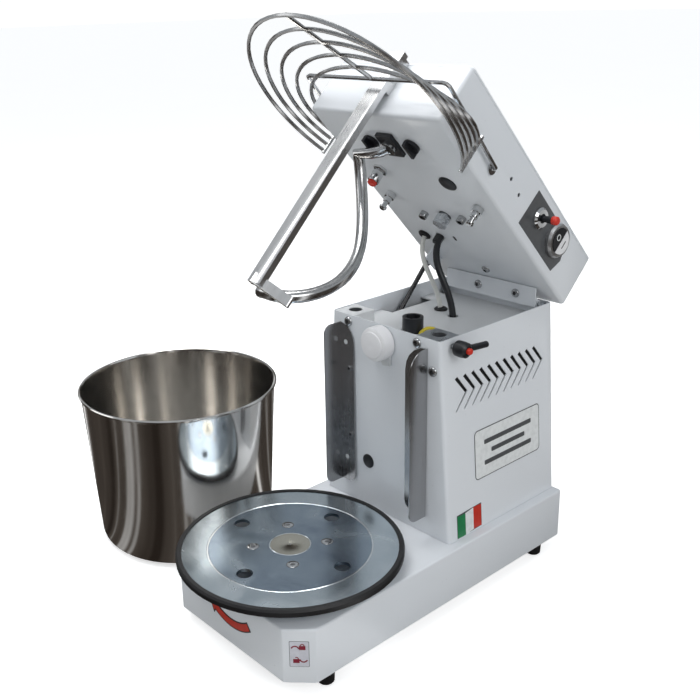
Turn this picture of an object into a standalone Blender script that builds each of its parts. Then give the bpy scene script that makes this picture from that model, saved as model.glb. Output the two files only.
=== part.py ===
"""Countertop tilt-head spiral dough mixer, with its head tilted open and its bowl set down beside it.

Metres, +Z up. The turntable end faces -Y, the louvred side with the switches is +X, and the feet stand
on z = 0. The origin is on the floor under the turntable's axis. The head and all it carries are drawn in
the closed position, with the head level, and hang from an empty on the hinge, which then swings them open.
"""

import math

import bmesh
import bpy
from mathutils import Matrix, Vector

GAP = 0.0003  # air left between two separate pieces that touch in the real machine
SHEET = 0.0015  # painted sheet steel
PAST = 0.0100  # how far a cutter runs past the wall that it cuts

# Base
BASE_HALF = 0.1236
BASE_FRONT = -0.0966
BASE_REAR = 0.3829
BASE_CHAMFER = 0.0264
FOOT_HIGH = 0.0180
BASE_TOP = 0.0867
FOOT_X = 0.1100
FOOT_FRONT_Y = -0.0450
FOOT_REAR_Y = 0.3430

# Column, which tapers a little towards its open top
COLUMN_LOW = BASE_TOP + GAP
COLUMN_TOP = 0.3491
COLUMN_HALF_LOW = 0.1109
COLUMN_HALF_TOP = 0.0916
COLUMN_FRONT_LOW = 0.1632
COLUMN_FRONT_TOP = 0.1610
COLUMN_REAR = 0.3812
DECK_TOP = 0.3290

# Turntable
TABLE_TOP = 0.1093
TABLE_R = 0.1310
RIM_R = 0.1380

# Hinge and head
HINGE = Vector((0, 0.3738, 0.3450))
OPEN_ANGLE = math.radians(46.2)
HEAD_HALF = 0.1032
HEAD_FRONT = 0.0233
HEAD_REAR = 0.3869
HEAD_LOW = 0.3570
HEAD_TOP = 0.4321
LID_THICK = 0.0030

# Drive line
MOTOR_Y = 0.2145
SPIRAL_Y = 0.0740
MOTOR_SHAFT_R = 0.0070
SPINDLE_R = 0.0100
PINION_R = 0.0190
TABLE_SPROCKET_R = 0.0550
SPIRAL_SPROCKET_R = 0.0370

# Locating pins, lock, gas strut and cables
PIN_X = 0.0715
PIN_Y = 0.1830
LOCK_Z = 0.3390
STRUT_X = -0.0815
STRUT_LOW = Vector((STRUT_X, 0.1850, 0.2227))
STRUT_TOP = Vector((STRUT_X, 0.3316, 0.3818))
CONDUIT_X = -0.0400
CONDUIT_Y = 0.2695
SIGNAL_X = -0.0690
SIGNAL_Y = 0.2724

# Wire guard on the head
WIRE_R = 0.0025
GUARD_PIVOT_Y = 0.1305
GUARD_PIVOT_Z = HEAD_LOW + 0.0215
GUARD_ARM_X = 0.1105
GUARD_FRONT_Y = -0.0020
GUARD_FRONT_Z = HEAD_LOW + 0.0285
GUARD_POST_Y = 0.0835

# Bowl, standing on the floor to the left
BOWL_X = -0.2912
BOWL_Y = 0.0450
BOWL_R = 0.1392
BOWL_HIGH = 0.2254

ALONG_X = Matrix.Rotation(math.pi / 2, 4, "Y")  # turns a shape drawn along Z to lie along X
ALONG_Y = Matrix.Rotation(-math.pi / 2, 4, "X")  # turns a shape drawn along Z to lie along Y
PLANE_YZ = Matrix(((0, 0, 1, 0), (1, 0, 0, 0), (0, 1, 0, 0), (0, 0, 0, 1)))  # draws an outline in Y and Z
PLANE_XZ = Matrix(((1, 0, 0, 0), (0, 0, 1, 0), (0, 1, 0, 0), (0, 0, 0, 1)))  # draws an outline in X and Z

# name: colour, metallic, roughness
FINISHES = {
    "white_paint": ((0.86, 0.87, 0.88), 0.0, 0.22),
    "stainless": ((0.62, 0.61, 0.60), 1.0, 0.22),
    "zinc": ((0.66, 0.67, 0.68), 1.0, 0.30),
    "chrome": ((0.75, 0.75, 0.76), 1.0, 0.08),
    "dark_steel": ((0.30, 0.30, 0.31), 1.0, 0.40),
    "black_steel": ((0.03, 0.03, 0.033), 0.0, 0.35),
    "cast_grey": ((0.28, 0.28, 0.29), 0.5, 0.70),
    "black_rubber": ((0.03, 0.03, 0.03), 0.0, 0.75),
    "black_plastic": ((0.03, 0.03, 0.035), 0.0, 0.45),
    "white_plastic": ((0.84, 0.84, 0.82), 0.0, 0.40),
    "red_plastic": ((0.55, 0.02, 0.03), 0.0, 0.25),
}


# Scene and materials

def clear_scene():
    for old in list(bpy.data.objects):
        bpy.data.objects.remove(old)


def collection(name):
    found = bpy.data.collections.get(name)
    if found is None:
        found = bpy.data.collections.new(name)
        bpy.context.scene.collection.children.link(found)
    return found


def material(name):
    found = bpy.data.materials.get(name)
    if found is None:
        colour, metallic, roughness = FINISHES[name]
        found = bpy.data.materials.new(name)
        found.use_nodes = True
        shader = found.node_tree.nodes["Principled BSDF"]
        shader.inputs["Base Color"].default_value = (*colour, 1)
        shader.inputs["Metallic"].default_value = metallic
        shader.inputs["Roughness"].default_value = roughness
    return found


def paint(finish, *parts):
    for part in parts:
        part.data.materials.clear()
        part.data.materials.append(material(finish))
        part.data.shade_smooth()
        part.data.set_sharp_from_angle(angle=math.radians(35))


# Shapes, each drawn about its own origin and then placed

def at(x, y, z):
    return Matrix.Translation((x, y, z))


def placed(name, data, place=None):
    made = bpy.data.objects.new(name, data)
    collection("spiral_mixer").objects.link(made)
    if place is not None:
        made.matrix_world = place
    return made


def from_bmesh(name, shape, place=None):
    bmesh.ops.recalc_face_normals(shape, faces=shape.faces)
    data = bpy.data.meshes.new(name)
    shape.to_mesh(data)
    shape.free()
    return placed(name, data, place)


def made_mesh(source):
    """The object as a plain mesh, with its modifiers applied, or its curve filled and welded."""
    bpy.context.view_layer.update()
    graph = bpy.context.evaluated_depsgraph_get()
    data = bpy.data.meshes.new_from_object(source.evaluated_get(graph))
    shape = bmesh.new()
    shape.from_mesh(data)
    bmesh.ops.remove_doubles(shape, verts=shape.verts, dist=0.00001)
    bmesh.ops.recalc_face_normals(shape, faces=shape.faces)
    shape.to_mesh(data)
    shape.free()
    name, place = source.name, source.matrix_world.copy()
    bpy.data.objects.remove(source)
    return placed(name, data, place)


def box(name, x, y, z, place=None):
    shape = bmesh.new()
    bmesh.ops.create_cube(shape, size=1)
    low, high = Vector((x[0], y[0], z[0])), Vector((x[1], y[1], z[1]))
    bmesh.ops.scale(shape, vec=high - low, verts=shape.verts)
    bmesh.ops.translate(shape, vec=(low + high) / 2, verts=shape.verts)
    return from_bmesh(name, shape, place)


def cylinder(name, radius, low, high, place=None, steps=24):
    shape = bmesh.new()
    middle = at(0, 0, (low + high) / 2)
    bmesh.ops.create_cone(
        shape, cap_ends=True, segments=steps, radius1=radius, radius2=radius, depth=high - low, matrix=middle
    )
    return from_bmesh(name, shape, place)


def lathe(name, profile, place=None, steps=24):
    """A turned solid. A profile that starts and ends on the axis is solid, and another closes to a ring."""
    shape = bmesh.new()
    points = [shape.verts.new((radius, 0, z)) for radius, z in profile]
    for first, second in zip(points, points[1:]):
        shape.edges.new((first, second))
    if profile[0][0] > 0:
        shape.edges.new((points[-1], points[0]))
    data = bpy.data.meshes.new(name)
    shape.to_mesh(data)
    shape.free()
    turned = placed(name, data)
    screw = turned.modifiers.new("turn", "SCREW")
    screw.steps = steps
    screw.render_steps = steps
    screw.use_merge_vertices = True
    screw.merge_threshold = 0.00001
    turned = made_mesh(turned)
    if place is not None:
        turned.matrix_world = place
    return turned


def prism(name, outlines, low, high, place=None):
    """A flat plate through one outline, or through an outer one with holes inside it."""
    flat = bpy.data.curves.new(name, "CURVE")
    flat.dimensions = "2D"
    flat.fill_mode = "BOTH"
    flat.extrude = (high - low) / 2
    for outline in outlines:
        spline = flat.splines.new("POLY")
        spline.points.add(len(outline) - 1)
        for point, (x, y) in zip(spline.points, outline):
            point.co = (x, y, 0, 1)
        spline.use_cyclic_u = True
    plate = made_mesh(placed(name, flat, at(0, 0, (low + high) / 2)))
    plate.data.transform(plate.matrix_world)
    plate.matrix_world = place if place is not None else Matrix.Identity(4)
    return plate


def rod(name, path, radius, resolution=2, place=None):
    """A round rod along a path of points. Its number of sides is twice the resolution, plus four."""
    line = bpy.data.curves.new(name, "CURVE")
    line.dimensions = "3D"
    line.bevel_depth = radius
    line.bevel_resolution = resolution
    line.use_fill_caps = True
    spline = line.splines.new("POLY")
    spline.points.add(len(path) - 1)
    for point, place_at in zip(spline.points, path):
        point.co = (*place_at, 1)
    bar = made_mesh(placed(name, line))
    if place is not None:
        bar.matrix_world = place
    return bar


def shell(name, closed_top, x, y, z, bend, taper=None):
    """A sheet-metal box with bent edges: open below, or open above and below."""
    case = box(name, x, y, z)
    shape = bmesh.new()
    shape.from_mesh(case.data)
    if taper is not None:
        for vertex in shape.verts:
            taper(vertex.co)
    bmesh.ops.recalc_face_normals(shape, faces=shape.faces)
    ends = [face for face in shape.faces if abs(face.normal.z) > 0.9]
    gone = [face for face in ends if face.normal.z < 0 or not closed_top]
    bmesh.ops.delete(shape, geom=gone, context="FACES_ONLY")
    sharp = [edge for edge in shape.edges if len(edge.link_faces) == 2]
    bmesh.ops.bevel(shape, geom=sharp, offset=bend, segments=3, profile=0.5, affect="EDGES")
    shape.to_mesh(case.data)
    shape.free()
    wall = case.modifiers.new("sheet", "SOLIDIFY")
    wall.thickness = SHEET
    wall.offset = -1
    wall.use_even_offset = True
    return made_mesh(case)


def fillet(outline, radius, steps=3):
    """A convex outline, counter-clockwise, with each corner rounded."""
    rounded = []
    count = len(outline)
    for i in range(count):
        corner = Vector(outline[i])
        before = (Vector(outline[i - 1]) - corner).normalized()
        after = (Vector(outline[(i + 1) % count]) - corner).normalized()
        half = before.angle(after) / 2
        centre = corner + (before + after).normalized() * radius / math.sin(half)
        first = corner + before * radius / math.tan(half) - centre
        last = corner + after * radius / math.tan(half) - centre
        swing = first.angle(last)
        for k in range(steps + 1):
            rounded.append(tuple(centre + Matrix.Rotation(swing * k / steps, 2) @ first))
    return rounded


def rectangle(x0, x1, y0, y1):
    return [(x0, y0), (x1, y0), (x1, y1), (x0, y1)]


def arc(centre, radius, begin, end, steps=5):
    """Points of an arc in a plane, with its angles in degrees."""
    points = []
    for k in range(steps + 1):
        turn = math.radians(begin + (end - begin) * k / steps)
        points.append((centre[0] + radius * math.cos(turn), centre[1] + radius * math.sin(turn)))
    return points


def hexagon(across_flats):
    return arc((0, 0), across_flats / math.sqrt(3), 0, 300, 5)


def bezier(start, start_pull, end_pull, end, count):
    """Points along the cubic curve between two ends and their two pulls."""
    path = []
    for i in range(count + 1):
        t = i / count
        u = 1 - t
        path.append(u**3 * start + 3 * u * u * t * start_pull + 3 * u * t * t * end_pull + t**3 * end)
    return path


def combine(target, tools, operation):
    for tool in tools:
        collection("spiral_mixer").objects.unlink(tool)
        collection("cutters").objects.link(tool)
        tool.hide_render = True
        tool.display_type = "WIRE"
        boolean = target.modifiers.new(operation.lower(), "BOOLEAN")
        boolean.operation = operation
        boolean.solver = "EXACT"
        boolean.object = tool


def cut(target, *tools):
    combine(target, tools, "DIFFERENCE")


def join(target, *tools):
    combine(target, tools, "UNION")


# Pivots

def pivot(name, place, parent=None):
    """An empty that pieces hang from. They keep their places when they are hung on it."""
    empty = bpy.data.objects.new(name, None)
    empty.empty_display_size = 0.02
    collection("spiral_mixer").objects.link(empty)
    empty.matrix_world = place
    bpy.context.view_layer.update()
    if parent is not None:
        hang(parent, empty)
    return empty


def hang(parent, *parts):
    """Parents pieces, and the tools of their Booleans, without moving them."""
    bpy.context.view_layer.update()
    for part in parts:
        tools = [modifier.object for modifier in part.modifiers if modifier.type == "BOOLEAN"]
        for piece in (part, *tools):
            piece.parent = parent
            piece.matrix_parent_inverse = parent.matrix_world.inverted()
    bpy.context.view_layer.update()


# Base and turntable

def build_base():
    half, front, rear, slant = BASE_HALF, BASE_FRONT, BASE_REAR, BASE_CHAMFER
    outline = [
        (-half + slant, front),
        (half - slant, front),
        (half, front + slant),
        (half, rear),
        (-half, rear),
        (-half, front + slant),
    ]
    case = prism("base_shell", [fillet(outline, 0.0040, 2)], FOOT_HIGH, BASE_TOP)
    shape = bmesh.new()
    shape.from_mesh(case.data)
    floor = [face for face in shape.faces if face.normal.z < -0.9]
    bmesh.ops.delete(shape, geom=floor, context="FACES_ONLY")
    lid = [edge for edge in shape.edges if all(vertex.co.z > BASE_TOP - 0.001 for vertex in edge.verts)]
    lid = [edge for edge in lid if len(edge.link_faces) == 2 and edge.calc_face_angle() > 1]
    bmesh.ops.bevel(shape, geom=lid, offset=0.0025, segments=3, profile=0.5, affect="EDGES")
    shape.to_mesh(case.data)
    shape.free()
    wall = case.modifiers.new("sheet", "SOLIDIFY")
    wall.thickness = SHEET
    wall.offset = -1
    wall.use_even_offset = True
    case = made_mesh(case)
    low, high = BASE_TOP - PAST, BASE_TOP + PAST
    cut(case, cylinder("bearing_hole", 0.0260, low, high))
    cut(case, cylinder("motor_hole", 0.0150, low, high, at(0, MOTOR_Y, 0)))

    depth = SHEET + GAP
    inner = [
        (-half + slant + 0.4 * depth, front + depth),
        (half - slant - 0.4 * depth, front + depth),
        (half - depth, front + slant + 0.4 * depth),
        (half - depth, rear - depth),
        (-half + depth, rear - depth),
        (-half + depth, front + slant + 0.4 * depth),
    ]
    plate = prism("base_plate", [fillet(inner, 0.0040, 2)], FOOT_HIGH, FOOT_HIGH + 0.0020)
    paint("white_paint", case)
    paint("zinc", plate)
    for side, x in (("left", -FOOT_X), ("right", FOOT_X)):
        for end, y in (("front", FOOT_FRONT_Y), ("rear", FOOT_REAR_Y)):
            top = FOOT_HIGH - GAP
            profile = [(0, 0), (0.0088, 0), (0.0100, 0.0015), (0.0108, top), (0, top)]
            paint("black_rubber", lathe(f"foot_{end}_{side}", profile, at(x, y, 0), 20))


def build_turntable():
    flange_top = BASE_TOP + 0.0070
    low = 0.0560
    profile = [
        (0.0106, low),
        (0.0250, low),
        (0.0250, BASE_TOP + GAP),
        (0.0400, BASE_TOP + GAP),
        (0.0400, BASE_TOP + 0.0040),
        (0.0250, flange_top),
        (0.0106, flange_top),
    ]
    bearing = lathe("turntable_bearing", profile, steps=28)

    under = TABLE_TOP - 0.0040
    seat = flange_top + 0.0010
    profile = [
        (0, 0.0300),
        (0.0100, 0.0300),
        (0.0100, seat),
        (0.0550, seat),
        (0.0550, under - GAP),
        (0, under - GAP),
    ]
    shaft = lathe("turntable_shaft", profile, steps=28)

    groove = TABLE_TOP - 0.0006
    profile = [
        (0, under),
        (TABLE_R, under),
        (TABLE_R, TABLE_TOP),
        (0.1008, TABLE_TOP),
        (0.1004, groove),
        (0.0992, groove),
        (0.0988, TABLE_TOP),
        (0.0256, TABLE_TOP),
        (0.0250, groove),
        (0.0244, TABLE_TOP),
        (0.0030, TABLE_TOP),
        (0, TABLE_TOP - 0.0015),
    ]
    disc = lathe("turntable_disc", profile, steps=72)
    for k in range(4):
        turn = math.radians(98.6 + 90 * k)
        place = at(0.0800 * math.cos(turn), 0.0800 * math.sin(turn), 0)
        cut(disc, cylinder("disc_hole", 0.0098, under - PAST, TABLE_TOP + PAST, place, 20))

    profile = [
        (TABLE_R + GAP, TABLE_TOP + 0.0012),
        (TABLE_R + GAP, TABLE_TOP - 0.0080),
        (RIM_R - 0.0015, TABLE_TOP - 0.0080),
        (RIM_R, TABLE_TOP - 0.0065),
        (RIM_R, TABLE_TOP - 0.0012),
        (RIM_R - 0.0020, TABLE_TOP + 0.0012),
    ]
    rim = lathe("turntable_rim", profile, steps=72)
    paint("dark_steel", bearing, shaft)
    paint("zinc", disc)
    paint("black_rubber", rim)


# Chain drives

def sprocket(name, teeth, radius, bore, low, high, place):
    """A toothed wheel with its shaft hole."""
    root = radius - 0.0035
    outline = []
    for k in range(teeth):
        for share, length in ((0.0, root), (0.3, root), (0.5, radius), (0.8, radius)):
            turn = 2 * math.pi * (k + share) / teeth
            outline.append((length * math.cos(turn), length * math.sin(turn)))
    hole = arc((0, 0), bore, 0, 342, 19)
    wheel = prism(name, [outline, hole], low, high, place)
    paint("dark_steel", wheel)
    return wheel


def chain(name, near, near_r, far, far_r, low, high, place):
    """A band round two wheels, the second further along Y than the first, clear of their teeth."""
    lean = math.degrees(math.asin((near_r - far_r) / (far - near)))
    loops = []
    for extra in (0.0040, 0.0008):
        loop = arc((0, far), far_r + extra, lean, 180 - lean, 16)
        loop += arc((0, near), near_r + extra, 180 - lean, 360 + lean, 16)
        loops.append(loop)
    band = prism(name, loops, low, high, place)
    paint("dark_steel", band)
    return band


def build_base_drive():
    place = at(0, MOTOR_Y, 0)
    bore = MOTOR_SHAFT_R + GAP
    profile = [
        (bore, COLUMN_LOW),
        (0.0485, COLUMN_LOW),
        (0.0485, COLUMN_LOW + 0.0060),
        (0.0460, COLUMN_LOW + 0.0080),
        (0.0460, 0.2300),
        (0.0400, 0.2400),
        (0.0200, 0.2400),
        (0.0200, 0.2600),
        (bore, 0.2600),
    ]
    paint("cast_grey", lathe("drive_motor", profile, place, 32))
    paint("dark_steel", cylinder("motor_shaft", MOTOR_SHAFT_R, 0.0330, 0.3250, place, 20))
    low, high = 0.0420, 0.0480
    sprocket("motor_pinion", 12, PINION_R, bore, low, high, place)
    sprocket("turntable_sprocket", 36, TABLE_SPROCKET_R, 0.0100 + GAP, low, high, None)
    chain("base_chain", 0, TABLE_SPROCKET_R, MOTOR_Y, PINION_R, low + 0.0005, high - 0.0005, None)

    socket = cylinder("drive_socket", 0.0135, 0.2750, 0.3480, place, 28)
    cut(socket, cylinder("socket_bore", bore, 0.2750 - PAST, 0.3260, place, 20))
    cut(socket, prism("socket_hex", [hexagon(0.0179)], 0.3255, 0.3480 + PAST, place))
    paint("black_plastic", socket)


# Column

def column_half(z):
    share = (z - COLUMN_LOW) / (COLUMN_TOP - COLUMN_LOW)
    return COLUMN_HALF_LOW + (COLUMN_HALF_TOP - COLUMN_HALF_LOW) * share


def column_front(z):
    share = (z - COLUMN_LOW) / (COLUMN_TOP - COLUMN_LOW)
    return COLUMN_FRONT_LOW + (COLUMN_FRONT_TOP - COLUMN_FRONT_LOW) * share


def taper_column(point):
    point.x = math.copysign(column_half(point.z), point.x)
    if point.y < MOTOR_Y:
        point.y = column_front(point.z)


def louvre_outline():
    """A chevron slot: a wide upper arm, and a thin lower one."""
    upper_arm = [(-0.0024, 0.0200), (0.0024, 0.0225), (0.0205, -0.0001)]
    lower_arm = [(-0.0008, -0.0224), (-0.0024, -0.0208), (0.0155, -0.0010)]
    return upper_arm + lower_arm


def build_column():
    front = COLUMN_FRONT_LOW
    case = shell(
        "column_shell",
        False,
        (-COLUMN_HALF_LOW, COLUMN_HALF_LOW),
        (front, COLUMN_REAR),
        (COLUMN_LOW, COLUMN_TOP),
        0.0050,
        taper_column,
    )
    pitch = 0.01522
    for k in range(11):
        place = at(0, 0.1871 + pitch * k, 0.2772) @ PLANE_YZ
        cut(case, prism("louvre", [louvre_outline()], 0.0850, 0.1200, place))
    cut(case, cylinder("stud_hole", 0.0036, 0.0800, 0.1100, at(0, PIN_Y, LOCK_Z) @ ALONG_X, 16))

    depth = SHEET + GAP
    half = column_half(DECK_TOP) - depth
    outline = fillet(rectangle(-half, half, column_front(DECK_TOP) + depth, COLUMN_REAR - depth), 0.0040, 3)
    floor = DECK_TOP - SHEET
    deck = prism("column_deck", [outline], floor, DECK_TOP)
    span = (floor - PAST, DECK_TOP + PAST)
    for x, y, radius in ((0, MOTOR_Y, 0.0155), (-0.0320, 0.3050, 0.0050), (-0.0020, 0.2950, 0.0070)):
        cut(deck, cylinder("deck_hole", radius, *span, at(x, y, 0), 20))
    cut(deck, box("strut_slot", (-0.1200, -0.0705), (0.2500, 0.3300), span))
    for x in (-0.0900, 0.0730):
        cut(deck, box("lug_notch", (x, x + 0.0170), (0.3650, 0.3900), span))
    paint("white_paint", case, deck)


def build_pin_sockets():
    """Corner blocks that the head's two locating pins drop into."""
    low, high = DECK_TOP + GAP, COLUMN_TOP - GAP
    for name, side, finish in (("pin_socket_left", -1, "white_plastic"), ("pin_socket_right", 1, "zinc")):
        block = box(name, sorted((side * 0.0530, side * 0.0885)), (0.1634, 0.1990), (low, high))
        cut(block, cylinder("pin_hole", 0.0090, low - PAST, high + PAST, at(side * PIN_X, PIN_Y, 0)))
        if side > 0:
            cut(block, cylinder("stud_way", 0.0032, 0.0700, 0.1000, at(0, PIN_Y, LOCK_Z) @ ALONG_X, 16))
        paint(finish, block)


def build_bowl_guards():
    """Stainless angles on the column's front: a flange against it, and a wing that stands forward."""
    thick = 0.0012
    back = 0.1606
    low, high = 0.1130, 0.3370
    reach = 0.0300
    for name, fold, wide, bend in (("left", -0.0765, 0.0250, 0.0110), ("right", 0.0735, -0.0350, 0.0240)):
        toward = math.copysign(1, wide)
        size = abs(wide)
        lower_corner = arc((size - 0.012, low + 0.012), 0.012, -90, 0)
        flat = [(0, low), *lower_corner, *arc((0, high - size), size, 0, 90)]
        flat = [(fold + toward * u, z) for u, z in flat]
        flange = prism(f"bowl_guard_{name}", [flat], back - thick, back, PLANE_XZ)
        wing = [(0, low), *arc((reach - 0.012, low + 0.012), 0.012, -90, 0)]
        wing += [*arc((reach - bend, high - bend), bend, 0, 90), (0, high)]
        wing = [(back - u, z) for u, z in wing]
        span = sorted((fold, fold + toward * thick))
        join(flange, prism("wing", [wing], *span, PLANE_YZ))
        paint("stainless", flange)


def build_roller():
    """Nylon roller on the column's front that the bowl's rim runs against."""
    place = at(-0.0020, 0.1425, 0.3270) @ ALONG_Y
    long = 0.0175
    profile = [
        (0.0032, long),
        (0.0032, 0.0040),
        (0.0060, 0.0040),
        (0.0060, 0),
        (0.0185, 0.0006),
        (0.0210, 0.0022),
        (0.0220, 0.0050),
        (0.0220, long),
    ]
    paint("white_plastic", lathe("rim_roller", profile, place, 36))
    head = 0.0012
    profile = [(0, head), (0.0054, head), (0.0054, 0.0036), (0.0029, 0.0036), (0.0029, 0.0180), (0, 0.0180)]
    paint("zinc", lathe("roller_axle", profile, place, 20))


def build_lock():
    """Clamping lever whose stud enters the groove of the right-hand locating pin."""
    place = at(0.1000, PIN_Y, LOCK_Z) @ ALONG_X
    paint("zinc", cylinder("lock_stud", 0.0028, -0.0230, 0.0060, place, 16))
    bore, recess = 0.0031, 0.0044
    profile = [
        (bore, -0.0025),
        (0.0070, -0.0025),
        (0.0096, 0),
        (0.0100, 0.0080),
        (0.0092, 0.0140),
        (0.0060, 0.0165),
        (recess, 0.0165),
        (recess, 0.0085),
        (bore, 0.0085),
    ]
    lever = lathe("lock_lever", profile, place, 24)
    neck = (0.1060, PIN_Y + 0.0080, 0.3380)
    path = [neck, (0.1075, PIN_Y + 0.0200, 0.3365), (0.1085, PIN_Y + 0.0430, 0.3350)]
    join(lever, rod("lever_arm", path, 0.0040, 3))
    profile = [(0, 0.0120), (0.0040, 0.0120), (0.0040, 0.0195), (0.0028, 0.0210), (0, 0.0213)]
    button = lathe("lock_button", profile, place, 20)
    paint("black_plastic", lever)
    paint("red_plastic", button)


def build_strut():
    """Gas strut at the column's left: cylinder on the column's anchor, and rod up to the head's bracket."""
    length = (STRUT_TOP - STRUT_LOW).length
    turn = Vector((0, 0, 1)).rotation_difference(STRUT_TOP - STRUT_LOW).to_matrix().to_4x4()
    place = Matrix.Translation(STRUT_LOW) @ turn
    bore = 0.0035
    mouth = 0.1250
    profile = [
        (0, 0.0180),
        (bore, 0.0180),
        (bore, mouth),
        (0.0060, mouth),
        (0.0070, mouth - 0.0020),
        (0.0070, 0.0080),
        (0, 0.0080),
    ]
    barrel = lathe("strut_cylinder", profile, place, 16)
    join(barrel, cylinder("neck", 0.0027, 0.0010, 0.0090, place, 12))
    join(barrel, cylinder("low_eye", 0.0055, -0.0030, 0.0030, Matrix.Translation(STRUT_LOW) @ ALONG_X, 16))
    shaft = cylinder("strut_rod", 0.0032, mouth - 0.0550, length, place, 16)
    join(shaft, cylinder("top_eye", 0.0055, -0.0030, 0.0030, Matrix.Translation(STRUT_TOP) @ ALONG_X, 16))

    y, z = STRUT_LOW.y, STRUT_LOW.z
    wall = column_half(z + 0.0150) - SHEET - GAP
    anchor = box("strut_anchor", (-wall, -wall + 0.0030), (y - 0.0120, y + 0.0120), (z - 0.0150, z + 0.0150))
    join(anchor, cylinder("stud", 0.0040, -wall + 0.0010, STRUT_X - 0.0035, at(0, y, z) @ ALONG_X, 12))
    paint("black_steel", barrel, shaft)
    paint("zinc", anchor)


def build_hinge(head):
    """Hinge pin with its two lugs on the column's rear wall, and the head's strap that turns on it."""
    pin_r = 0.0024
    reach = 0.0850
    place = Matrix.Translation(HINGE) @ ALONG_X
    pin = cylinder("hinge_pin", pin_r, -reach, reach, place, 14)
    back = COLUMN_REAR - SHEET - GAP
    for x in (-reach + 0.0010, reach - 0.0050):
        y, z = (HINGE.y - 0.0050, back), (HINGE.z - 0.0220, HINGE.z + 0.0035)
        join(pin, box("lug", (x, x + 0.0040), y, z))

    # The strap's plate leaves the head's underside at a slant, in front of the pin, and a bridge joins them.
    left, right = -0.0740, 0.0760
    strap = cylinder("hinge_strap", 0.0048, left, right, place, 16)
    lean = math.radians(43.8)
    top = Vector((0.3530, HEAD_LOW - 0.0004))
    down = Vector((math.cos(lean), -math.sin(lean)))
    thick = Vector((-down.y, down.x)) * -0.0020
    foot = top + down * 0.0262
    web = foot - down * 0.0090
    plate = prism("plate", [[top, foot, foot + thick, top + thick]], left, right, PLANE_YZ)
    bridge = [web, (HINGE.y, HINGE.z - 0.0010), (HINGE.y, HINGE.z + 0.0030), web - down * 0.0050]
    join(strap, plate, prism("bridge", [bridge], left, right, PLANE_YZ))
    cut(strap, cylinder("strap_bore", pin_r + 0.0004, left - PAST, right + PAST, place, 14))
    hang(head, strap)
    paint("dark_steel", pin)
    paint("white_paint", strap)


def build_cables(opened):
    """Black conduit and white cable that pass from the column's deck up into the head."""
    for name, x, y, head_x, head_y, radius, bow, finish in (
        ("power_conduit", -0.0020, 0.2950, CONDUIT_X, CONDUIT_Y, 0.0045, 0.0500, "black_plastic"),
        ("signal_cable", -0.0320, 0.3050, SIGNAL_X, SIGNAL_Y, 0.0032, 0.0450, "white_plastic"),
    ):
        start, pull = Vector((x, y, DECK_TOP - 0.0110)), Vector((x, y, DECK_TOP + bow))
        end, end_pull = (opened @ Vector((head_x, head_y, HEAD_LOW + rise)) for rise in (0.0110, -bow))
        paint(finish, rod(name, bezier(start, pull, end_pull, end, 14), radius))


# Head

def build_head_shell(head):
    lift = HEAD_LOW + HEAD_TOP - LID_THICK - 0.0004
    sides, depths = (-HEAD_HALF, HEAD_HALF), (HEAD_FRONT, HEAD_REAR)
    # The tray is drawn upside down, as a box open below, and then turned over.
    tray = shell("head_tray", True, sides, depths, (HEAD_LOW, lift - HEAD_LOW), 0.0050)
    tray.data.transform(at(0, 0, lift) @ Matrix.Scale(-1, 4, (0, 0, 1)))
    tray.data.flip_normals()
    low, high = HEAD_LOW - PAST, HEAD_LOW + PAST
    for x, y, radius in (
        (0, SPIRAL_Y, 0.0125),
        (0, MOTOR_Y, 0.0090),
        (SIGNAL_X, SIGNAL_Y, 0.0050),
        (CONDUIT_X, CONDUIT_Y, 0.0066),
        (-0.0560, 0.1310, 0.0046),
    ):
        cut(tray, cylinder("floor_hole", radius, low, high, at(x, y, 0), 18))
    for y, rise, radius in (
        (0.1695, 0.0375, 0.0026),
        (0.1957, 0.0343, 0.0026),
        (0.2500, 0.0410, 0.0070),
        (0.3000, 0.0435, 0.0150),
        (GUARD_PIVOT_Y, 0.0215, 0.0058),
    ):
        cut(tray, cylinder("side_hole", radius, 0.0900, 0.1200, at(0, y, HEAD_LOW + rise) @ ALONG_X, 18))
    place = at(0, GUARD_PIVOT_Y, GUARD_PIVOT_Z) @ ALONG_X
    cut(tray, cylinder("side_hole", 0.0058, -0.1200, -0.0900, place, 18))

    lid = prism("head_lid", [fillet(rectangle(*sides, *depths), 0.0060, 3)], HEAD_TOP - LID_THICK, HEAD_TOP)
    rounding = lid.modifiers.new("edge", "BEVEL")
    rounding.width = 0.0009
    rounding.segments = 2
    rounding.limit_method = "ANGLE"
    rounding.angle_limit = math.radians(60)
    hang(head, tray, lid)
    paint("white_paint", tray, lid)


def build_locating_pins(head):
    """Chrome pins: a collar that seats on the socket, a groove for the lock, and a pointed end."""
    top = HEAD_LOW - GAP
    seat = COLUMN_TOP + GAP
    profile = [
        (0, top),
        (0.0068, top),
        (0.0068, seat),
        (0.0050, seat),
        (0.0050, LOCK_Z + 0.0035),
        (0.0032, LOCK_Z + 0.0030),
        (0.0032, LOCK_Z - 0.0030),
        (0.0050, LOCK_Z - 0.0035),
        (0.0050, 0.3330),
        (0.0034, 0.3310),
        (0, 0.3310),
    ]
    for name, x in (("locating_pin_left", -PIN_X), ("locating_pin_right", PIN_X)):
        pin = lathe(name, profile, at(x, PIN_Y, 0), 20)
        hang(head, pin)
        paint("chrome", pin)


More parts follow.
